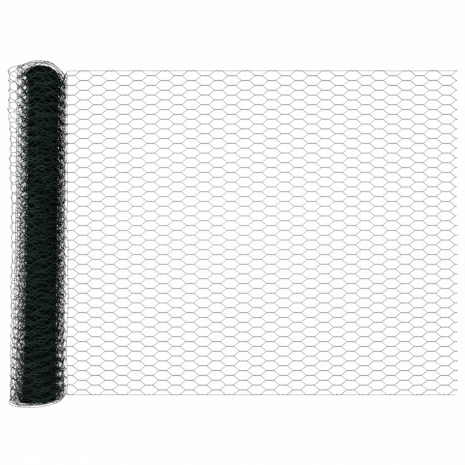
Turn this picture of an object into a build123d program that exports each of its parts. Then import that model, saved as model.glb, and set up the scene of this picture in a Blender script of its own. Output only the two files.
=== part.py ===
"""A roll of hexagonal wire netting that stands on its end, with its free end drawn out flat.

Millimetres. +Z is up. The origin is where the axis of the roll's bore meets the floor. The free
end runs along +X, on edge. The netting is one piece of stock: it is wound up in the roll, peels
off the back of the outermost turn in a double bend, and then runs flat to its cut end.
"""

from build123d import *
from math import cos, radians, sin, sqrt
import os

# Netting
netting_width = 1000.0      # the roll's height, selvedge to selvedge
rows = 33.5                 # meshes between the selvedges
twist_pitch = 82.8          # between twists of the same height, along the netting
twist_length = 24.0
wire_dia = 1.0              # over the coating
selvedge_dia = 1.3

# Roll
bore_dia = 40.0
tight_dia = 92.0            # the tight turns
slack_dia = 140.0           # the slack turns round them
slack_shift = 6.0           # how far they hang off the axis, away from the free end
outer_dia = 164.0           # the outermost turn, which stands off the rest
outer_shift = 17.0
tight_ridges = 6            # turns that show on each end of the tight part
slack_ridges = 4
turn_wall = 2.2             # a ridge, as thick as a turn with its twists
tight_groove_depth = 4.0
slack_groove_depth = 10.0
outer_groove_depth = 30.0

# Free end
free_end_x = 1271.0         # the cut end
plane_y = 12.0              # the middle of the flat netting
peel_angle = 75.0           # where the netting leaves the outermost turn, from the back of the roll
peel_lap = 14.0             # how much of the outermost turn, in degrees, the lead-out still follows
lap_clearance = 0.2
first_twist_x = 119.2       # a twist that lies on the upper selvedge

# What follows from those
row_pitch = (netting_width - selvedge_dia) / rows
column_step = twist_pitch / 2
upper_z = netting_width - selvedge_dia / 2
lower_z = selvedge_dia / 2
twist_width = 2 * wire_dia

lead_radius = outer_dia / 2 + lap_clearance + wire_dia / 2
peel = radians(peel_angle)
peel_x = -outer_shift + lead_radius * sin(peel)
peel_y = lead_radius * cos(peel)
return_radius = (peel_y - plane_y) / (1 - cos(peel))
flat_start_x = peel_x + return_radius * sin(peel)

# The opening of one mesh, inside its two twists and four slanting wires
slant = (row_pitch / 2) / (column_step - twist_length)
slant_inset = (wire_dia / 2) * sqrt(1 + slant * slant)
mesh_half_height = row_pitch / 2 - twist_width / 2
mesh_short_half = twist_length / 2 + (twist_width / 2 - slant_inset) / slant
mesh_long_half = column_step - twist_length / 2 - slant_inset / slant
mesh_outline = [
    (mesh_short_half, mesh_half_height),
    (mesh_long_half, 0),
    (mesh_short_half, -mesh_half_height),
    (-mesh_short_half, -mesh_half_height),
    (-mesh_long_half, 0),
    (-mesh_short_half, mesh_half_height),
]


def mesh_places(start_x, end_x):
    """The middle of every mesh that reaches into the netting from start_x to end_x."""
    first = int((start_x - first_twist_x) // column_step)
    last = int((end_x - first_twist_x) // column_step) + 1
    places = []
    for column in range(first, last + 1):
        row = 0.5 if column % 2 == 0 else 0.0
        while row <= rows:
            places.append((first_twist_x + column * column_step, upper_z - row * row_pitch))
            row += 1
    return places


def ring(inner_r, inner_shift, outer_r, outer_shift):
    """The gap between two turns, each a circle that hangs off the axis by its shift."""
    with BuildSketch() as gap:
        with Locations((-outer_shift, 0)):
            Circle(outer_r)
        with Locations((-inner_shift, 0)):
            Circle(inner_r, mode=Mode.SUBTRACT)
    return gap.sketch


os.makedirs("parts", exist_ok=True)

# The wound turns: a tight part turned about the bore, and slack turns that hang to one side
tight_pitch = (tight_dia - bore_dia) / 2 / tight_ridges
slack_pitch = (slack_dia - tight_dia) / 2 / slack_ridges
with BuildPart() as roll:
    with BuildSketch(Plane.XZ):
        with Locations((bore_dia / 2, 0)):
            Rectangle((tight_dia - bore_dia) / 2, netting_width, align=(Align.MIN, Align.MIN))
        for ridge in range(tight_ridges):
            groove_r = bore_dia / 2 + ridge * tight_pitch + turn_wall
            with Locations((groove_r, 0), (groove_r, netting_width - tight_groove_depth)):
                Rectangle(
                    tight_pitch - turn_wall, tight_groove_depth,
                    align=(Align.MIN, Align.MIN), mode=Mode.SUBTRACT,
                )
    revolve(axis=Axis.Z)
    with BuildSketch():
        with Locations((-outer_shift, 0)):
            Circle(outer_dia / 2)
        Circle(tight_dia / 2 - turn_wall, mode=Mode.SUBTRACT)
    extrude(amount=netting_width)
    for end_z in (0, netting_width - slack_groove_depth):
        with BuildSketch(Plane.XY.offset(end_z)):
            for ridge in range(slack_ridges):
                inner_r = tight_dia / 2 + ridge * slack_pitch
                shift_in = slack_shift * ridge / slack_ridges
                shift_out = slack_shift * (ridge + 1) / slack_ridges
                add(ring(inner_r, shift_in, inner_r + slack_pitch - turn_wall, shift_out))
        extrude(amount=slack_groove_depth, mode=Mode.SUBTRACT)
    for end_z in (0, netting_width - outer_groove_depth):
        with BuildSketch(Plane.XY.offset(end_z)):
            add(ring(slack_dia / 2, slack_shift, outer_dia / 2 - turn_wall, outer_shift))
        extrude(amount=outer_groove_depth, mode=Mode.SUBTRACT)
roll.part.label = "roll"
export_step(roll.part, "parts/roll.step")

# The lead-out: netting that follows the outermost turn, peels off and bends back to the flat
with BuildPart() as lead_out:
    with BuildSketch():
        with BuildLine() as path:
            CenterArc((-outer_shift, 0), lead_radius, 90 - peel_angle, peel_lap)
            CenterArc(
                (flat_start_x, plane_y + return_radius), return_radius, 270 - peel_angle, peel_angle
            )
            Line((flat_start_x, plane_y), (first_twist_x, plane_y))
        trace(path.line, wire_dia)
    extrude(amount=netting_width)
    lead_depth = 2 * (lead_radius + wire_dia)
    with BuildSketch(Plane.XZ.offset(-lead_depth / 2)):
        with Locations(*mesh_places(0, first_twist_x)):
            Polygon(*mesh_outline, align=None)
        with Locations((-outer_shift, upper_z), (-outer_shift, lower_z)):
            Rectangle(
                first_twist_x + outer_shift, selvedge_dia,
                align=(Align.MIN, Align.CENTER), mode=Mode.SUBTRACT,
            )
    extrude(amount=lead_depth, mode=Mode.SUBTRACT)
lead_out.part.label = "lead_out"
export_step(lead_out.part, "parts/lead_out.step")

# The flat netting, parted at the middle of a column of twists
columns = int((free_end_x - first_twist_x) // column_step)
parting = [0, 2 * round(columns / 6), 2 * round(columns / 3)]
parting_x = [first_twist_x + column * column_step for column in parting] + [free_end_x]
for name, start_x, end_x in zip(("near", "middle", "end"), parting_x, parting_x[1:]):
    with BuildPart() as stretch:
        with BuildSketch(Plane.XZ.offset(-plane_y - wire_dia / 2)):
            with Locations((start_x, 0)):
                Rectangle(end_x - start_x, netting_width, align=(Align.MIN, Align.MIN))
            with Locations(*mesh_places(start_x, end_x)):
                Polygon(*mesh_outline, align=None, mode=Mode.SUBTRACT)
            with Locations((start_x, upper_z), (start_x, lower_z)):
                Rectangle(end_x - start_x, selvedge_dia, align=(Align.MIN, Align.CENTER))
        extrude(amount=wire_dia, clean=False)
    stretch.part.label = f"stretch_{name}"
    export_step(stretch.part, f"parts/stretch_{name}.step")
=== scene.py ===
"""The looks of a roll of chicken wire that stands on its end with its free end drawn out flat.

Metres, in the frame of the CAD model: +Z is up, the roll's bore is on the Z axis, and the free end
runs along +X. The netting is one lattice of twisted wire that follows one path in plan: out of the
tight turns, round the slack ones, off the back of the outermost turn and flat to its cut end.
"""

from functools import partial
from math import cos, hypot, pi, radians, sin

import bmesh
import bpy
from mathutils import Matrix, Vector


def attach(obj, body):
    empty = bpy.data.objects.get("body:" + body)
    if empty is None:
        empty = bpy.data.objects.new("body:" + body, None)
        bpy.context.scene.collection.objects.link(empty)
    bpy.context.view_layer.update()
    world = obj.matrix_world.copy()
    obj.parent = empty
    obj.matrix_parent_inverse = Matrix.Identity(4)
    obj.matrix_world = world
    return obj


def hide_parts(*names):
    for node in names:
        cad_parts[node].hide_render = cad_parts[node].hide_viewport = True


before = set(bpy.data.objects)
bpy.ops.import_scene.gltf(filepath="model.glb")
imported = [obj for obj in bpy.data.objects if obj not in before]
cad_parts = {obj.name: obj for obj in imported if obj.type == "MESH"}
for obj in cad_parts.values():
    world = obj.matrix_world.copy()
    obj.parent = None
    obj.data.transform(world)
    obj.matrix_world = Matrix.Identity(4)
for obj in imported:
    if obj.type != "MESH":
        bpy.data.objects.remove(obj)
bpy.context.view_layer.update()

MM = 0.001

# Netting
NETTING_WIDTH = 1000 * MM
ROWS = 33.5
TWIST_PITCH = 82.8 * MM         # between twists of the same height
TWIST_LENGTH = 24 * MM
WIRE_R = 0.7 * MM               # thicker than the real 0.5 mm, which would look too pale
SLIM_WIRE_R = 0.5 * MM          # where turns are seen one behind another
SELVEDGE_R = 0.65 * MM
SELVEDGE_STEP = 6 * MM          # between a selvedge's bends
WELD = 0.02 * MM                # wire ends closer than this are one
COLUMN_STEP = TWIST_PITCH / 2
ROW_PITCH = (NETTING_WIDTH - 2 * SELVEDGE_R) / ROWS
UPPER_Z = NETTING_WIDTH - SELVEDGE_R
LOWER_Z = SELVEDGE_R
POINTS_IN_COLUMN = 34           # twists in a column, one of them on a selvedge
COLUMN_LEAN = 7 * MM            # how far a column of twists slants over the netting's width
WAVINESS = 2.4 * MM
SEED = 0.37

# The plan of the roll, as circles that hang off the bore's axis towards -X
BORE_R = 20 * MM
TIGHT_R = 41.5 * MM
OUTER_R = 82 * MM
PEEL_ANGLE = radians(75)
TURN_KEYS = [                   # turns back from the peel, radius in mm, shift in mm
    (0.0, 82.0, 16.3),
    (0.8, 82.0, 16.3),
    (1.25, 70.0, 4.0),
    (2.2, 66.5, 4.0),
    (3.3, 62.5, 1.0),
    (5.5, 57.0, 0.0),
    (9.3, 50.5, -0.5),
    (16.8, 43.0, -0.5),
]
LAST_TURN = TURN_KEYS[-1][0]    # the innermost turn that is made wire by wire

# How the wound turns change over the roll's height
LEAN = (-10 * MM, -7 * MM)      # how far the turns inside the outermost one are off at the foot
LEAN_POWER = 1.4
FLARE = 4 * MM                  # and how far they open out there
FLARE_POWER = 4
FORWARD = 4 * MM                # the slack turns hang towards the front
RIGHT_HOLD = 4 * MM             # and do not lean with the rest on their right
CORNER = 14 * MM                # at the foot all turns but the outermost are squarer in front
CORNER_POWER = 8
CORNER_LEFT = 0.5               # how much facing left, right and to the front add to a corner
CORNER_RIGHT = 0.77
CORNER_FRONT = 0.64
CORNER_SHARPNESS = 4
PINCH = 8 * MM                  # the outermost turn is drawn in a little below half height
TIGHT_DROP = 8 * MM             # the tight turns' upper edge is lower than the flat part's
PROUD = 4 * MM                  # a slack turn's is higher than that
TELESCOPE = 7 * MM              # and the next ones' are lower than the highest by up to this
LEFT_DROP = 13 * MM             # on the left the edges of all turns but the outermost are lower
DIP = 6 * MM                    # and at the front left by this much more
OUTER_DROP = 14 * MM            # the outermost turn's is lower at the left and front left
RIGHT_DROP = 30 * MM            # the tight turns' are lower on the right
SLACK_SHARE = 0.6               # and the slack turns' by this share of it
LIFT = 3 * MM                   # the slack turns' lower edges are off the floor by up to this
TIGHT_LIFT = 3 * MM             # and those further in by this much more
SLIP = 45 * MM                  # rows of the slack turns slip past each other in between
UNEVEN = 40 * MM                # and their meshes are stretched and squashed

# Bearings in degrees from the front, positive to the right: where a drop starts and is complete,
# from either side
RIGHT_SECTOR = ((30, 110), (175, 130))
OUTER_SECTOR = ((25, -15), (-175, -120))
DIP_SECTOR = ((15, -25), (-85, -40))

# Looseness at which a part of the netting, or what changes it, starts and is complete
PARTS = {
    "inner": (1.0, 0.75),       # all turns but the outermost
    "outermost_from": (0.75, 1.0),
    "outermost_to": (1.5, 1.0),
    "wound": (1.6, 1.0),        # what is not flat
    "slack": (0.3, 0.6),
    "tight": (0.5, 0.36),
    "slack_share": (0.3, 0.55),
    "right_drop": (0.995, 0.93),
    "outer_drop": (0.93, 0.995),
    "tight_lift": (0.67, 0.6),
}

# How uneven the hand-wound sheet is, as scales of noise to the metre
SLOW_WAVES = 9.0
QUICK_WAVES = 30.0
QUICK_SHARE = 0.4               # of the slow waves' height
STRETCH_WAVES = 7.0
LEVEL_WAVES = 3.5
LEVEL_DROP = (0.38, 0.5)        # noise at which an edge starts to drop and is down
LEVEL_LIFT = (0.3, 0.7)         # noise at which an edge starts to lift and is up
EVENNESS = (-0.85, 2.1)         # the most of the waviness there is, falling with looseness
EDGE_FADE = 6.0                 # rows slip fully from 1/6 m inside the edges on
WAIST = (2.2, -1.3)             # takes the height below the top to -1 and 1 at the pinch's ends

# The free end
PLANE_Y = 12 * MM
FIRST_TWIST_X = 119.2 * MM
CUT_END_X = 1271 * MM

# The photograph's camera
FRAME_PX = 465
FLAT_PX_PER_M = 324.3           # the netting's width of 1 m, in pixels
CAMERA_DISTANCE = 1.38          # from the roll's axis
CAMERA_X = 0.5765
CAMERA_Z = 0.501
SENSOR_MM = 36

# Floor and light
FLOOR_WHITE = "F4F4F2"
SEEN_WHITE = 0.991              # of the room and the floor, as the camera sees them
FLOOR_EVENNESS = 0.985          # how much of the floor's shade the camera does not see
ROOM_LIGHT = 0.25
LAMPS = [                       # name, place, size, watts
    ("key_lamp", (-0.9, -2.2, 2.6), 1.2, 126),
    ("fill_lamp", (2.4, -2.0, 1.8), 2.0, 44),
]
LAMPS_AIM = (0.3, 0, 0.5)


def smooth(low, high, value):
    """0 below low, 1 above high, with a level start and end."""
    t = min(max((value - low) / (high - low), 0), 1)
    return t * t * (3 - 2 * t)


def in_sector(degrees, sector):
    """1 inside a sector of bearings, 0 outside, with soft sides."""
    return smooth(*sector[0], degrees) * smooth(*sector[1], degrees)


def linear(hex_colour):
    """An sRGB hex value as linear red, green, blue and alpha."""
    channels = []
    for i in (0, 2, 4):
        c = int(hex_colour[i:i + 2], 16) / 255
        channels.append(c / 12.92 if c <= 0.04045 else ((c + 0.055) / 1.055) ** 2.4)
    return (*channels, 1)


MATH = "ShaderNodeMath"
VECTOR_MATH = "ShaderNodeVectorMath"
MAP_RANGE = "ShaderNodeMapRange"
NOISE = "ShaderNodeTexNoise"
COMBINE = "ShaderNodeCombineXYZ"
SEPARATE = "ShaderNodeSeparateXYZ"


def add_node(tree, kind, *inputs, **settings):
    """A node of that kind with its settings.

    Its inputs come in their order, or in a dictionary by name or number. Each is a value, a
    socket, or a node whose first output is meant.
    """
    node = tree.nodes.new(kind)
    for name, value in settings.items():
        setattr(node, name, value)
    by_key = inputs[0] if inputs and isinstance(inputs[0], dict) else dict(enumerate(inputs))
    for key, value in by_key.items():
        if isinstance(value, bpy.types.Node):
            value = value.outputs[0]
        if isinstance(value, bpy.types.NodeSocket):
            tree.links.new(value, node.inputs[key])
        else:
            node.inputs[key].default_value = value
    return node


def emptied_tree(owner):
    """The node tree of a new material or world, with nothing in it."""
    owner.use_nodes = True
    owner.node_tree.nodes.clear()
    return owner.node_tree


def new_object(name, data):
    piece = bpy.data.objects.new(name, data)
    bpy.context.scene.collection.objects.link(piece)
    return piece


# Materials

def coated_wire_material(name, dark, light, gloss):
    """Steel wire with an extruded PVC coat: near black green, with soft plastic's dull sheen."""
    material = bpy.data.materials.new(name)
    add = partial(add_node, emptied_tree(material))
    place = add("ShaderNodeTexCoord").outputs["Object"]
    patches = add(NOISE, {"Vector": place, "Scale": 18.0, "Detail": 5.0, "Roughness": 0.65})
    share = add(MAP_RANGE, {"Value": patches.outputs["Fac"], "From Min": 0.3, "From Max": 0.7})
    colour = add(
        "ShaderNodeMix", {"Factor": share, 6: linear(dark), 7: linear(light)}, data_type="RGBA"
    )
    spots = add(NOISE, {"Vector": place, "Scale": 400.0, "Detail": 2.0})
    roughness = add(MAP_RANGE, {"Value": spots.outputs["Fac"], "To Min": 0.42, "To Max": 0.62})
    surface = add(
        "ShaderNodeBsdfPrincipled",
        {"Base Color": colour.outputs[2], "Roughness": roughness, "Specular IOR Level": gloss},
    )
    add("ShaderNodeOutputMaterial", {"Surface": surface})
    return material


def wound_netting_painted_shade_material():
    """The tight turns seen as one dark mass: layers of netting over painted deep shadow."""
    material = bpy.data.materials.new("wound_pvc_netting_painted_shade")
    add = partial(add_node, emptied_tree(material))
    place = add("ShaderNodeTexCoord").outputs["Object"]
    spot = add(SEPARATE, place).outputs
    front = add(MATH, spot[1], -1.0, operation="MULTIPLY")
    angle = add(MATH, spot[0], front, operation="ARCTAN2")
    strokes_with_painted_shade = 0.0
    # Each layer's strokes are painted darker the deeper it lies: painted shade
    for layer, (shift, painted_light_level) in enumerate(((0.0, 1.0), (0.37, 0.7), (0.71, 0.45))):
        drift = add(
            NOISE, {"Vector": place, "W": layer * 3.0, "Scale": 12.0, "Detail": 1.0},
            noise_dimensions="4D",
        ).outputs["Fac"]
        around = add(MATH, angle, TIGHT_R / TWIST_PITCH, shift, operation="MULTIPLY_ADD")
        around = add(MATH, drift, 0.5, around, operation="MULTIPLY_ADD")
        up = add(MATH, spot[2], 1 / ROW_PITCH, 3 * shift, operation="MULTIPLY_ADD")
        up = add(MATH, drift, 1.5, up, operation="MULTIPLY_ADD")
        zigzag = add(
            MAP_RANGE,
            {
                "Value": add(MATH, around, 0.5, operation="PINGPONG"),
                "From Min": TWIST_LENGTH / TWIST_PITCH / 2,
                "From Max": 0.5 - TWIST_LENGTH / TWIST_PITCH / 2,
                "To Max": 0.5,
            },
        )
        for way in ("ADD", "SUBTRACT"):
            off = add(MATH, up, zigzag, operation=way)
            off = add(MATH, off, 0.5, operation="PINGPONG")
            stroke_with_painted_shade = add(
                MAP_RANGE,
                {
                    "Value": off,
                    "From Min": 1.5 * SLIM_WIRE_R / ROW_PITCH,
                    "From Max": 0.5 * SLIM_WIRE_R / ROW_PITCH,
                    "To Max": painted_light_level,
                },
            )
            strokes_with_painted_shade = add(MATH, strokes_with_painted_shade, stroke_with_painted_shade, operation="MAXIMUM")
    # 020806 is painted deep shadow between the strokes; 152823 is the wire's own colour
    colour = add(
        "ShaderNodeMix", {"Factor": strokes_with_painted_shade, 6: linear("020806"), 7: linear("152823")},
        data_type="RGBA",
    )
    surface = add(
        "ShaderNodeBsdfPrincipled",
        {"Base Color": colour.outputs[2], "Roughness": 0.7, "Specular IOR Level": 0.02},
    )
    add("ShaderNodeOutputMaterial", {"Surface": surface})
    return material


# One twist of the netting and the two wires that leave it

def tube(bm, points, radius, sides):
    """A wire through points, as wide on average as a round one, with its end rings square to X."""
    corner_r = radius * pi / (sides * sin(pi / sides))
    rings = []
    for i, point in enumerate(points):
        if i in (0, len(points) - 1):
            along = Vector((1, 0, 0))
        else:
            along = (points[i + 1] - points[i - 1]).normalized()
        across = Vector((0, 1, 0)) - along * along.y
        across.normalize()
        up = across.cross(along)
        ring_points = []
        for k in range(sides):
            a = 2 * pi * (k + 0.5) / sides
            ring_points.append(bm.verts.new(point + corner_r * (cos(a) * across + sin(a) * up)))
        rings.append(ring_points)
    for first, second in zip(rings, rings[1:]):
        for k in range(sides):
            bm.faces.new((first[k], second[k], second[k - 1], first[k - 1]))


def slant_points(start_z, end_z, bends):
    """The wire from the end of one twist to the start of the next, with softened corners."""
    start = Vector((TWIST_LENGTH / 2, 0, start_z))
    end = Vector((COLUMN_STEP - TWIST_LENGTH / 2, 0, end_z))
    return [start.lerp(end, t) + Vector((0, 0, (end_z - start_z) * d)) for t, d in bends]


def helix(turns, steps, start_angle, radius_at):
    """Points round the twist's axis. radius_at gives the winding's radius from 0 to 1 along it."""
    points = []
    for i in range(steps + 1):
        t = i / steps
        a = start_angle + 2 * pi * turns * t
        r = radius_at(t)
        points.append(Vector((TWIST_LENGTH * (t - 0.5), r * cos(a), r * sin(a))))
    return points


def turned_over(points):
    return [Vector((p.x, -p.y, -p.z)) for p in points]


def knot(name, wire_r, steps, bends, sides):
    """A twist: two wires wound round each other, which change places and part to the next two."""
    r = wire_r * 0.85
    half_turns = 3
    lower = helix(half_turns / 2, steps, pi / 2, lambda t: r)
    wire = lower + slant_points(-r, -ROW_PITCH / 2 + r, bends)
    bm = bmesh.new()
    tube(bm, wire, wire_r, sides)
    tube(bm, turned_over(wire), wire_r, sides)
    return finished(bm, name)


def edge_knot(name, wire_r, steps, bends, sides, upside_down):
    """A twist on a selvedge: one wire comes in, winds round the selvedge and goes back."""
    start = wire_r * 1.06
    full = SELVEDGE_R + wire_r
    wire = helix(
        2, steps, -pi / 2,
        lambda t: start + (full - start) * min(1, 6 * min(t, 1 - t)),
    )
    wire += slant_points(-start, -ROW_PITCH / 2 + start, bends)
    bm = bmesh.new()
    tube(bm, turned_over(wire) if upside_down else wire, wire_r, sides)
    return finished(bm, name)


def finished(bm, name):
    bmesh.ops.recalc_face_normals(bm, faces=bm.faces)
    mesh = bpy.data.meshes.new(name)
    bm.to_mesh(mesh)
    bm.free()
    piece = new_object(name, mesh)
    piece.hide_render = True
    return piece


SOFT_BENDS = [(0.1, -0.02), (0.9, 0.02), (1.0, 0.0)]
PLAIN_BENDS = [(1.0, 0.0)]      # share of the way, and how far off the straight line


def knot_set(kind, wire_r, steps, edge_steps, bends, sides):
    """A plain knot and the ones on the upper and the lower selvedge."""
    name = "knot_" + kind
    return (
        knot(name, wire_r, steps, bends, sides),
        edge_knot(name + "_upper", wire_r, edge_steps, bends, sides, False),
        edge_knot(name + "_lower", wire_r, edge_steps, bends, sides, True),
    )


KNOTS = {
    "fine": knot_set("fine", WIRE_R, 9, 12, SOFT_BENDS, 4),
    "slim": knot_set("slim", SLIM_WIRE_R, 9, 12, SOFT_BENDS, 4),
    "stout": knot_set("stout", WIRE_R, 6, 10, PLAIN_BENDS, 3),
    "plain": knot_set("plain", SLIM_WIRE_R, 6, 10, PLAIN_BENDS, 3),
}


# The path in plan

def turn_circle(turn):
    """Radius and shift of the circle that the netting follows, counted in turns from the peel."""
    for (t0, r0, c0), (t1, r1, c1) in zip(TURN_KEYS, TURN_KEYS[1:]):
        if turn <= t1:
            break
    share = (turn - t0) / (t1 - t0)
    return (r0 + (r1 - r0) * share) * MM, (c0 + (c1 - c0) * share) * MM


def netting_path():
    """Points of the netting's path in plan from the inside out, each with its looseness.

    Looseness is 0 at the tight turns, 1 at the outermost turn, and 2 where the netting is flat.
    """
    steps = 240
    points = []
    for i in range(int(LAST_TURN * steps), -1, -1):
        turn = i / steps
        radius, shift = turn_circle(turn)
        a = pi / 2 - PEEL_ANGLE + 2 * pi * turn
        looseness = (radius - TIGHT_R) / (OUTER_R - TIGHT_R)
        points.append((-shift + radius * cos(a), radius * sin(a), looseness))
    peel_x, peel_y, looseness = points[-1]
    bend_r = (peel_y - PLANE_Y) / (1 - cos(PEEL_ANGLE))
    bend_x = peel_x + bend_r * sin(PEEL_ANGLE)
    bend_steps = 30
    for i in range(1, bend_steps + 1):
        a = PEEL_ANGLE * (1 - i / bend_steps)
        points.append((
            bend_x - bend_r * sin(a),
            PLANE_Y + bend_r * (1 - cos(a)),
            looseness + (2 - looseness) * i / bend_steps,
        ))
    flat_steps = 400
    for i in range(1, flat_steps + 1):
        x = bend_x + (CUT_END_X + TWIST_LENGTH - bend_x) * i / flat_steps
        points.append((x, PLANE_Y, 2.0))
    return points


def path_curve(points):
    """The path as a curve whose radius carries the looseness."""
    curve = bpy.data.curves.new("netting_path", "CURVE")
    curve.dimensions = "3D"
    spline = curve.splines.new("POLY")
    spline.points.add(len(points) - 1)
    for slot, (x, y, looseness) in zip(spline.points, points):
        slot.co = (x, y, 0, 1)
        slot.radius = max(looseness, 0)
    return new_object("netting_path", curve)


PATH_POINTS = netting_path()


def path_lengths():
    """Length along the path at each of its points."""
    lengths = [0.0]
    for (x0, y0, _), (x1, y1, _) in zip(PATH_POINTS, PATH_POINTS[1:]):
        lengths.append(lengths[-1] + hypot(x1 - x0, y1 - y0))
    return lengths


PATH_LENGTHS = path_lengths()
PATH_END = PATH_LENGTHS[-1]
FIRST_TWIST_LENGTH = PATH_END - (CUT_END_X + TWIST_LENGTH - FIRST_TWIST_X)
CUT_LENGTH = PATH_END - TWIST_LENGTH
FIRST_COLUMN = -int(FIRST_TWIST_LENGTH / COLUMN_STEP) + 1
LAST_COLUMN = int((CUT_LENGTH - FIRST_TWIST_LENGTH) / COLUMN_STEP) + 1


# The tree that weaves netting along the path

def sector_step(add, angle, sector):
    """As in_sector, for an angle in radians."""
    from_start, from_end = (
        add(MAP_RANGE, angle, *map(radians, side), interpolation_type="SMOOTHSTEP")
        for side in sector
    )
    return add(MATH, from_start, from_end, operation="MULTIPLY")


def noise(add, place, scale, detail=1.0):
    """A vector round zero that changes with the place."""
    cloud = add(NOISE, {"Vector": place, "Scale": scale, "Detail": detail})
    return add(VECTOR_MATH, cloud.outputs["Color"], (0.5, 0.5, 0.5), operation="SUBTRACT")


INPUTS = [
    ("Path", "NodeSocketObject"),
    ("Knot", "NodeSocketObject"),
    ("Upper Knot", "NodeSocketObject"),
    ("Lower Knot", "NodeSocketObject"),
    ("First Column", "NodeSocketInt"),
    ("Columns", "NodeSocketInt"),
    ("Column Step", "NodeSocketFloat"),
    ("Row Pitch", "NodeSocketFloat"),
    ("Column Zero", "NodeSocketFloat"),
    ("Selvedge Radius", "NodeSocketFloat"),
    ("Waviness", "NodeSocketFloat"),
    ("Seed", "NodeSocketFloat"),
    ("Cut Length", "NodeSocketFloat"),
    ("Material", "NodeSocketMaterial"),
]


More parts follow.
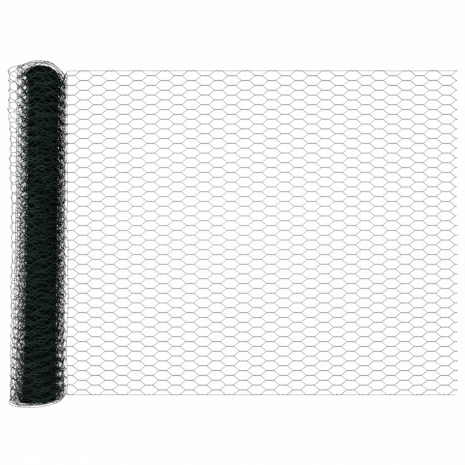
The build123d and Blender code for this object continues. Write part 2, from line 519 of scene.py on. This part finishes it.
def weaving_tree():
    """Geometry nodes: a lattice of knots and two selvedges, laid along the path in plan."""
    tree = bpy.data.node_groups.new("weave_netting", "GeometryNodeTree")
    tree.interface.new_socket("Geometry", in_out="OUTPUT", socket_type="NodeSocketGeometry")
    for name, kind in INPUTS:
        tree.interface.new_socket(name, in_out="INPUT", socket_type=kind)
    add = partial(add_node, tree)
    given = add("NodeGroupInput").outputs

    # The lattice, as points numbered down the columns
    count = add(MATH, given["Columns"], POINTS_IN_COLUMN, operation="MULTIPLY")
    points = add("GeometryNodePoints", {"Count": count})
    index = add("GeometryNodeInputIndex")
    column = add(MATH, index, POINTS_IN_COLUMN, operation="DIVIDE")
    column = add(MATH, column, operation="FLOOR")
    row = add(MATH, index, POINTS_IN_COLUMN, operation="MODULO")
    column = add(MATH, column, given["First Column"], operation="ADD")
    odd = add(MATH, column, 1.0, operation="PINGPONG")
    depth = add(MATH, odd, 0.5, operation="MULTIPLY")
    depth = add(MATH, row, depth, operation="ADD")
    along = add(
        MATH, column, given["Column Step"], given["Column Zero"], operation="MULTIPLY_ADD"
    )
    height = add(MATH, depth, given["Row Pitch"], operation="MULTIPLY")
    height = add(MATH, UPPER_Z, height, operation="SUBTRACT")
    place = add(COMBINE, along, 0.0, height)
    placed = add("GeometryNodeSetPosition", {"Geometry": points, "Position": place})
    on_upper = add(MATH, depth, 0.25, operation="LESS_THAN")
    on_lower = add(MATH, depth, ROWS - 0.25, operation="GREATER_THAN")
    on_edge = add(MATH, on_upper, on_lower, operation="ADD")
    between = add(MATH, 1.0, on_edge, operation="SUBTRACT")
    join = add("GeometryNodeJoinGeometry")
    for chosen, knot_name in (
        (between, "Knot"), (on_upper, "Upper Knot"), (on_lower, "Lower Knot")
    ):
        shape = add("GeometryNodeObjectInfo", {"Object": given[knot_name]})
        instances = add(
            "GeometryNodeInstanceOnPoints",
            {"Points": placed, "Selection": chosen, "Instance": shape.outputs["Geometry"]},
        )
        tree.links.new(instances.outputs[0], join.inputs[0])

    # The selvedges, each one straight wire from the first column to the last or to the cut end
    start = add(
        MATH, given["First Column"], given["Column Step"], given["Column Zero"],
        operation="MULTIPLY_ADD",
    )
    start = add(MATH, start, TWIST_LENGTH / 2, operation="SUBTRACT")
    end = add(MATH, given["Columns"], given["Column Step"], start, operation="MULTIPLY_ADD")
    end = add(MATH, end, given["Cut Length"], operation="MINIMUM")
    profile = add(
        "GeometryNodeCurvePrimitiveCircle",
        {"Resolution": 5, "Radius": given["Selvedge Radius"]}, mode="RADIUS",
    )
    for edge_z in (UPPER_Z, LOWER_Z):
        ends = {"Start": add(COMBINE, start, 0.0, edge_z), "End": add(COMBINE, end, 0.0, edge_z)}
        line = add("GeometryNodeCurvePrimitiveLine", ends)
        line = add(
            "GeometryNodeResampleCurve", {"Curve": line, "Length": SELVEDGE_STEP}, mode="LENGTH"
        )
        wire = add(
            "GeometryNodeCurveToMesh",
            {"Curve": line, "Profile Curve": profile, "Fill Caps": True},
        )
        tree.links.new(wire.outputs[0], join.inputs[0])
    realized = add("GeometryNodeRealizeInstances", {"Geometry": join})
    welded = add("GeometryNodeMergeByDistance", {"Geometry": realized, "Distance": WELD})

    # The columns lean over the netting's width
    length, thick, z = add(SEPARATE, add("GeometryNodeInputPosition")).outputs
    slant = add(MATH, z, NETTING_WIDTH, operation="SUBTRACT")
    slant = add(MATH, COLUMN_LEAN, slant, operation="MULTIPLY")
    leaning = add(MATH, length, slant, operation="ADD")

    # How loose the netting is there
    path = add("GeometryNodeObjectInfo", {"Object": given["Path"]})
    sampled = {
        "Curves": path.outputs["Geometry"],
        "Value": add("GeometryNodeInputRadius"),
    }
    where = add("GeometryNodeSampleCurve", {**sampled, "Length": leaning}, mode="LENGTH")
    looseness = where.outputs["Value"]
    part = {
        name: add(MAP_RANGE, looseness, *ends, interpolation_type="SMOOTHSTEP")
        for name, ends in PARTS.items()
    }

    # Hand-wound netting is never even: slow waves in the sheet, more where it is slack
    wave_place = add(COMBINE, leaning, given["Seed"], z)
    quick = noise(add, wave_place, QUICK_WAVES)
    quick = add(VECTOR_MATH, {0: quick, "Scale": QUICK_SHARE}, operation="SCALE")
    wave = add(VECTOR_MATH, noise(add, wave_place, SLOW_WAVES), quick, operation="ADD")
    wave = add(SEPARATE, wave).outputs
    evenness = add(MATH, looseness, *EVENNESS, operation="MULTIPLY_ADD")
    strength = add(MATH, looseness, 0.25, operation="ADD")
    strength = add(MATH, strength, evenness, operation="MINIMUM")
    strength = add(MATH, given["Waviness"], strength, operation="MULTIPLY")
    fall = add(MATH, NETTING_WIDTH, z, operation="SUBTRACT")
    fall = add(MATH, fall, 0.0, operation="MAXIMUM")
    within = add(MATH, fall, z, operation="MINIMUM")
    within = add(MATH, within, EDGE_FADE, operation="MULTIPLY")
    within = add(MATH, within, 1.0, operation="MINIMUM")
    stretch = noise(add, wave_place, STRETCH_WAVES, 2.0)
    stretch = add(VECTOR_MATH, {0: stretch, "Scale": UNEVEN}, operation="SCALE")
    stretched = add(MATH, within, part["inner"], operation="MULTIPLY")
    stretch = add(VECTOR_MATH, {0: stretch, "Scale": stretched}, operation="SCALE")
    stretch = add(SEPARATE, stretch).outputs
    along_shift = add(MATH, wave[0], strength, stretch[0], operation="MULTIPLY_ADD")
    out_shift = add(MATH, wave[1], strength, operation="MULTIPLY")
    up_shift = add(MATH, wave[2], strength, stretch[2], operation="MULTIPLY_ADD")
    final_length = add(MATH, along_shift, 0.6, leaning, operation="MULTIPLY_ADD")
    spot = add("GeometryNodeSampleCurve", {**sampled, "Length": final_length}, mode="LENGTH")
    outward = add(
        VECTOR_MATH, (0.0, 0.0, 1.0), spot.outputs["Tangent"], operation="CROSS_PRODUCT"
    )
    outward = add(VECTOR_MATH, outward, operation="NORMALIZE")
    facing = add(SEPARATE, outward).outputs
    left = add(MATH, facing[0], -1.0, operation="MULTIPLY")
    left = add(MATH, left, 0.0, operation="MAXIMUM")
    right = add(MATH, facing[0], 0.0, operation="MAXIMUM")
    front = add(MATH, facing[1], -1.0, operation="MULTIPLY")
    bearing = add(MATH, facing[0], front, operation="ARCTAN2")

    # The wound turns lean and open out towards the foot, and the outermost turn is pinched
    slack = add(MATH, part["slack"], part["inner"], operation="MULTIPLY")
    outermost = add(MATH, part["outermost_from"], part["outermost_to"], operation="MULTIPLY")
    lean = add(MATH, fall, LEAN_POWER, operation="POWER")
    lean = add(MATH, lean, part["inner"], operation="MULTIPLY")
    hold = add(MATH, lean, right, operation="MULTIPLY")
    hold = add(MATH, hold, RIGHT_HOLD, operation="MULTIPLY")
    flare = add(MATH, fall, FLARE_POWER, operation="POWER")
    flare = add(MATH, flare, FLARE, operation="MULTIPLY")
    corner = add(MATH, right, CORNER_RIGHT, operation="MULTIPLY")
    corner = add(MATH, left, CORNER_LEFT, corner, operation="MULTIPLY_ADD")
    corner = add(MATH, facing[1], -CORNER_FRONT, corner, operation="MULTIPLY_ADD")
    corner = add(MATH, corner, 0.0, operation="MAXIMUM")
    corner = add(MATH, corner, CORNER_SHARPNESS, operation="POWER")
    corner = add(MATH, corner, CORNER, operation="MULTIPLY")
    at_foot = add(MATH, fall, CORNER_POWER, operation="POWER")
    corner = add(MATH, corner, at_foot, operation="MULTIPLY")
    pinch = add(MATH, fall, *WAIST, operation="MULTIPLY_ADD")
    pinch = add(MATH, pinch, pinch, operation="MULTIPLY")
    pinch = add(MATH, pinch, 1.0, operation="SUBTRACT")
    pinch = add(MATH, pinch, 0.0, operation="MINIMUM")
    pinch = add(MATH, pinch, PINCH, operation="MULTIPLY")
    pinch = add(MATH, pinch, left, operation="MULTIPLY")
    pinch = add(MATH, pinch, outermost, operation="MULTIPLY")
    unevenness = add(MATH, outermost, 3.0, 2.0, operation="MULTIPLY_ADD")
    offset = add(MATH, out_shift, unevenness, thick, operation="MULTIPLY_ADD")
    wider = add(MATH, flare, corner, operation="ADD")
    offset = add(MATH, wider, part["inner"], offset, operation="MULTIPLY_ADD")
    offset = add(MATH, hold, slack, offset, operation="MULTIPLY_ADD")
    offset = add(MATH, pinch, offset, operation="ADD")
    offset = add(VECTOR_MATH, {0: outward, "Scale": offset}, operation="SCALE")
    plan = add(VECTOR_MATH, spot.outputs["Position"], offset, operation="ADD")

    # No turn's edges are level with the next one's
    levels = add(
        NOISE, {"W": leaning, "Scale": LEVEL_WAVES, "Detail": 1.0}, noise_dimensions="1D"
    )
    levels = add(SEPARATE, levels.outputs["Color"]).outputs
    drop = add(MAP_RANGE, levels[0], *LEVEL_DROP, interpolation_type="SMOOTHSTEP")
    drop = add(MATH, drop, TELESCOPE, -PROUD, operation="MULTIPLY_ADD")
    tight_drop = add(MATH, part["tight"], TIGHT_DROP + PROUD, -PROUD, operation="MULTIPLY_ADD")
    drop = add(MATH, drop, tight_drop, operation="MAXIMUM")
    left_drop = add(MATH, left, 2.0, operation="POWER")
    left_drop = add(MATH, left_drop, LEFT_DROP, operation="MULTIPLY")
    drop = add(MATH, left_drop, part["inner"], drop, operation="MULTIPLY_ADD")
    share = add(MATH, part["slack_share"], SLACK_SHARE - 1, 1.0, operation="MULTIPLY_ADD")
    share = add(MATH, share, part["right_drop"], operation="MULTIPLY")
    share = add(MATH, sector_step(add, bearing, RIGHT_SECTOR), share, operation="MULTIPLY")
    drop = add(MATH, share, RIGHT_DROP, drop, operation="MULTIPLY_ADD")
    share = sector_step(add, bearing, OUTER_SECTOR)
    share = add(MATH, share, part["outer_drop"], operation="MULTIPLY")
    drop = add(MATH, share, OUTER_DROP, drop, operation="MULTIPLY_ADD")
    share = sector_step(add, bearing, DIP_SECTOR)
    share = add(MATH, share, part["inner"], operation="MULTIPLY")
    drop = add(MATH, share, DIP, drop, operation="MULTIPLY_ADD")
    drop = add(MATH, drop, z, operation="MULTIPLY")
    lift = add(MAP_RANGE, levels[1], *LEVEL_LIFT, interpolation_type="SMOOTHSTEP")
    lift = add(MATH, lift, LIFT, operation="MULTIPLY")
    tight_lift = add(MATH, part["tight_lift"], TIGHT_LIFT, operation="MULTIPLY")
    lift = add(MATH, lift, tight_lift, operation="ADD")
    lift = add(MATH, lift, fall, operation="MULTIPLY")
    bulge = add(MATH, within, SLIP, operation="MULTIPLY")
    slip = add(MATH, levels[2], 0.5, operation="SUBTRACT")
    height = add(MATH, bulge, slip, lift, operation="MULTIPLY_ADD")
    height = add(MATH, height, drop, operation="SUBTRACT")
    height = add(MATH, height, part["wound"], z, operation="MULTIPLY_ADD")
    height = add(MATH, height, up_shift, operation="ADD")
    right_move = add(MATH, lean, LEAN[0], operation="MULTIPLY")
    back_move = add(MATH, slack, -FORWARD, operation="MULTIPLY")
    back_move = add(MATH, lean, LEAN[1], back_move, operation="MULTIPLY_ADD")
    move = add(COMBINE, right_move, back_move, height)
    place = add(VECTOR_MATH, plan, move, operation="ADD")
    laid = add("GeometryNodeSetPosition", {"Geometry": welded, "Position": place})
    painted = add("GeometryNodeSetMaterial", {"Geometry": laid, "Material": given["Material"]})
    add("NodeGroupOutput", {"Geometry": painted})
    return tree


WEAVE = weaving_tree()
PATH = path_curve(PATH_POINTS)
WIRE_NAME = "pvc_coated_steel_wire"
WIRE_MATERIAL = coated_wire_material(WIRE_NAME, "07110E", "24342E", 0.1)
# Two copies of the same wire with painted shade: darker colours and less gloss for turns deeper in
# the roll
PAINTED_SHADE_WIRE_MATERIAL = coated_wire_material(WIRE_NAME + "_shaded", "020908", "152520", 0.04)
PAINTED_DEEP_SHADE_WIRE_MATERIAL = coated_wire_material(WIRE_NAME + "_painted_deep_shade", "020705", "06130E", 0.02)
WOUND_PAINTED_SHADE_MATERIAL = wound_netting_painted_shade_material()


def woven(name, first, columns, knots, material):
    """A stretch of netting, from a column of twists on, as a plain mesh."""
    empty = bpy.data.meshes.new(name + "_start")
    carrier = new_object(name + "_start", empty)
    modifier = carrier.modifiers.new("weave", "NODES")
    modifier.node_group = WEAVE
    sizes = {
        "Path": PATH,
        "Knot": knots[0],
        "Upper Knot": knots[1],
        "Lower Knot": knots[2],
        "First Column": first,
        "Columns": columns,
        "Column Step": COLUMN_STEP,
        "Row Pitch": ROW_PITCH,
        "Column Zero": FIRST_TWIST_LENGTH,
        "Selvedge Radius": SELVEDGE_R,
        "Waviness": WAVINESS,
        "Seed": SEED,
        "Cut Length": CUT_LENGTH,
        "Material": material,
    }
    for item in WEAVE.interface.items_tree:
        if item.in_out == "INPUT":
            modifier[item.identifier] = sizes[item.name]
    graph = bpy.context.evaluated_depsgraph_get()
    mesh = bpy.data.meshes.new_from_object(carrier.evaluated_get(graph))
    mesh.name = name
    bpy.data.objects.remove(carrier)
    piece = new_object(name, mesh)
    close_ends(mesh)
    for face in mesh.polygons:
        face.use_smooth = True
    return piece


def close_ends(mesh):
    """Nothing goes past the cut end, and every wire end is closed."""
    bm = bmesh.new()
    bm.from_mesh(mesh)
    beyond = [v for v in bm.verts if v.co.x > CUT_END_X]
    bmesh.ops.delete(bm, geom=beyond, context="VERTS")
    bmesh.ops.holes_fill(bm, edges=bm.edges, sides=6)
    bm.to_mesh(mesh)
    bm.free()


# The pieces

LEAD_COLUMNS = 3
OUTER_COLUMNS = 13
FIRST_LOOSE = -LEAD_COLUMNS - OUTER_COLUMNS
THIRD = (FIRST_LOOSE - FIRST_COLUMN) // 3
PIECES = [                      # name, CAD node, first column, columns, knots, material
    ("netting_near", "stretch_near", 0, 9, "fine", WIRE_MATERIAL),
    ("netting_middle", "stretch_middle", 9, 10, "fine", WIRE_MATERIAL),
    ("netting_end", "stretch_end", 19, LAST_COLUMN + 1 - 19, "fine", WIRE_MATERIAL),
    ("netting_lead_out", "lead_out", -LEAD_COLUMNS, LEAD_COLUMNS, "fine", WIRE_MATERIAL),
    ("outermost_turn", "roll", FIRST_LOOSE, OUTER_COLUMNS, "slim", WIRE_MATERIAL),
    ("slack_turns", "roll", FIRST_LOOSE - THIRD, THIRD, "stout", WIRE_MATERIAL),
    # The middle and inner turns wear the wire with painted shade, darker the deeper they lie
    ("middle_turns", "roll", FIRST_LOOSE - 2 * THIRD, THIRD, "plain", PAINTED_SHADE_WIRE_MATERIAL),
    (
        "inner_turns", "roll", FIRST_COLUMN, FIRST_LOOSE - 2 * THIRD - FIRST_COLUMN, "plain",
        PAINTED_DEEP_SHADE_WIRE_MATERIAL,
    ),
]
for name, node, first, columns, kind, material in PIECES:
    piece = woven(name, first, columns, KNOTS[kind], material)
    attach(piece, "root")
    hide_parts(node)


TIGHT_RISE = 3 * MM             # the dark winding's upper edge is a little higher at its outside
RIM_ROUNDING = 2 * MM           # and rounded off
RIM_Z = 0.965


def tight_place(turn, radius, level):
    """A point of the tight turns, which lean, open out at the foot and drop to the right.

    turn is counted from the front, radius is what it would be at the top, and level goes from 0
    at the lower edge to 1 at the upper one.
    """
    bearing = 360 * (turn % 1)
    bearing -= 360 * (bearing > 180)
    a = radians(bearing - 90)
    left = max(-cos(a), 0)
    right = max(cos(a), 0)
    outside = (radius - BORE_R) / (TIGHT_R - BORE_R)
    drop = in_sector(bearing, RIGHT_SECTOR) * RIGHT_DROP / 2 + LEFT_DROP * left ** 2
    drop += in_sector(bearing, DIP_SECTOR) * DIP - TIGHT_RISE
    top = UPPER_Z - TIGHT_DROP - outside * drop
    bottom = LOWER_Z + TIGHT_LIFT / 2
    z = bottom + (top - bottom) * level
    fall = 1 - z
    to_corner = max(CORNER_LEFT * left + CORNER_RIGHT * right - CORNER_FRONT * sin(a), 0)
    wider = FLARE * fall ** FLARE_POWER
    wider += CORNER * fall ** CORNER_POWER * to_corner ** CORNER_SHARPNESS
    radius += outside * (wider - RIM_ROUNDING * smooth(RIM_Z, 1.0, z))
    lean = outside * fall ** LEAN_POWER
    return lean * LEAN[0] + radius * cos(a), lean * LEAN[1] + radius * sin(a), z


def tight_core():
    """The tight turns as one solid winding with its bore, painted dark for the shade deep in them.
    """
    around = 96
    up = 90
    bm = bmesh.new()
    section = [(TIGHT_R, i / up) for i in range(up + 1)] + [(BORE_R, 1), (BORE_R, 0)]
    rings = [
        [bm.verts.new(tight_place(k / around, radius, level)) for k in range(around)]
        for radius, level in section
    ]
    for ring, following in zip(rings, rings[1:] + rings[:1]):
        for k in range(around):
            bm.faces.new((ring[k - 1], ring[k], following[k], following[k - 1]))
    bmesh.ops.recalc_face_normals(bm, faces=bm.faces)
    mesh = bpy.data.meshes.new("tight_core")
    bm.to_mesh(mesh)
    bm.free()
    mesh.materials.append(WOUND_PAINTED_SHADE_MATERIAL)
    return new_object("tight_core", mesh)


def tight_edges():
    """The selvedges of the tight turns, one uneven spiral on each end of the roll."""
    pitch = 2.3 * MM
    steps = 40
    turns = (TIGHT_R - BORE_R - 2 * SELVEDGE_R) / pitch
    sideways = 0.4 * MM
    proud = 1.2 * MM
    up_and_down = 0.9 * MM
    curve = bpy.data.curves.new("tight_edges", "CURVE")
    curve.dimensions = "3D"
    curve.bevel_depth = SELVEDGE_R
    curve.bevel_resolution = 0
    curve.use_fill_caps = True
    for level, outward in ((1, 1), (0, -1)):
        count = int(turns * steps)
        spline = curve.splines.new("POLY")
        spline.points.add(count)
        for i, slot in enumerate(spline.points):
            turn = i / steps
            wander = sideways * sin(2.3 * turn) * sin(2 * pi * 2 * turn + turn)
            wave = up_and_down * sin(1.7 * turn) * sin(2 * pi * turn + 2 * turn)
            radius = BORE_R + SELVEDGE_R + pitch * turn + wander
            x, y, z = tight_place(turn, radius, level)
            slot.co = (x, y, z + outward * (proud + wave), 1)
    carrier = new_object("tight_edges_curve", curve)
    graph = bpy.context.evaluated_depsgraph_get()
    mesh = bpy.data.meshes.new_from_object(carrier.evaluated_get(graph))
    bpy.data.objects.remove(carrier)
    mesh.name = "tight_edges"
    mesh.materials.clear()
    mesh.materials.append(WIRE_MATERIAL)
    for face in mesh.polygons:
        face.use_smooth = True
    return new_object("tight_edges", mesh)


for piece in (tight_core(), tight_edges()):
    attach(piece, "root")
    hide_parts("roll")

for knots in KNOTS.values():
    for piece in knots:
        bpy.data.objects.remove(piece)
bpy.data.objects.remove(PATH)


# Floor, light and camera

def floor():
    """A plain pale floor, which the camera sees near white, with a faint shadow."""
    bm = bmesh.new()
    bmesh.ops.create_circle(bm, cap_ends=True, segments=64, radius=40)
    mesh = bpy.data.meshes.new("floor")
    bm.to_mesh(mesh)
    bm.free()
    material = bpy.data.materials.new("pale_floor")
    add = partial(add_node, emptied_tree(material))
    matt = add("ShaderNodeBsdfDiffuse", {"Color": linear(FLOOR_WHITE)})
    white = add("ShaderNodeEmission", {"Strength": SEEN_WHITE})
    seen = add("ShaderNodeLightPath").outputs["Is Camera Ray"]
    share = add(MATH, seen, FLOOR_EVENNESS, operation="MULTIPLY")
    mixed = add("ShaderNodeMixShader", share, matt, white)
    add("ShaderNodeOutputMaterial", {"Surface": mixed})
    mesh.materials.append(material)
    piece = new_object("floor", mesh)


def light():
    """A soft studio: an even pale room and two large lamps."""
    world = bpy.data.worlds.new("studio")
    bpy.context.scene.world = world
    add = partial(add_node, emptied_tree(world))
    seen = add("ShaderNodeLightPath").outputs["Is Camera Ray"]
    strength = add(MAP_RANGE, {"Value": seen, "To Min": ROOM_LIGHT, "To Max": SEEN_WHITE})
    background = add("ShaderNodeBackground", {"Color": (1, 1, 1, 1), "Strength": strength})
    add("ShaderNodeOutputWorld", {"Surface": background})
    for name, place, size, power in LAMPS:
        lamp = bpy.data.lights.new(name, "AREA")
        lamp.size = size
        lamp.energy = power
        piece = new_object(name, lamp)
        piece.location = place
        piece.rotation_euler = (
            Vector(LAMPS_AIM) - Vector(place)
        ).to_track_quat("-Z", "Y").to_euler()


def camera():
    """Square on to the free end, at half its height."""
    data = bpy.data.cameras.new("camera")
    focal_px = FLAT_PX_PER_M * (CAMERA_DISTANCE + PLANE_Y)
    data.sensor_width = SENSOR_MM
    data.lens = focal_px / FRAME_PX * SENSOR_MM
    data.clip_start = 0.05
    data.clip_end = 200
    piece = new_object("camera", data)
    piece.location = (CAMERA_X, -CAMERA_DISTANCE, CAMERA_Z)
    piece.rotation_euler = (pi / 2, 0, 0)
    bpy.context.scene.camera = piece


floor()
light()
camera()
bpy.context.scene.view_settings.view_transform = "Standard"
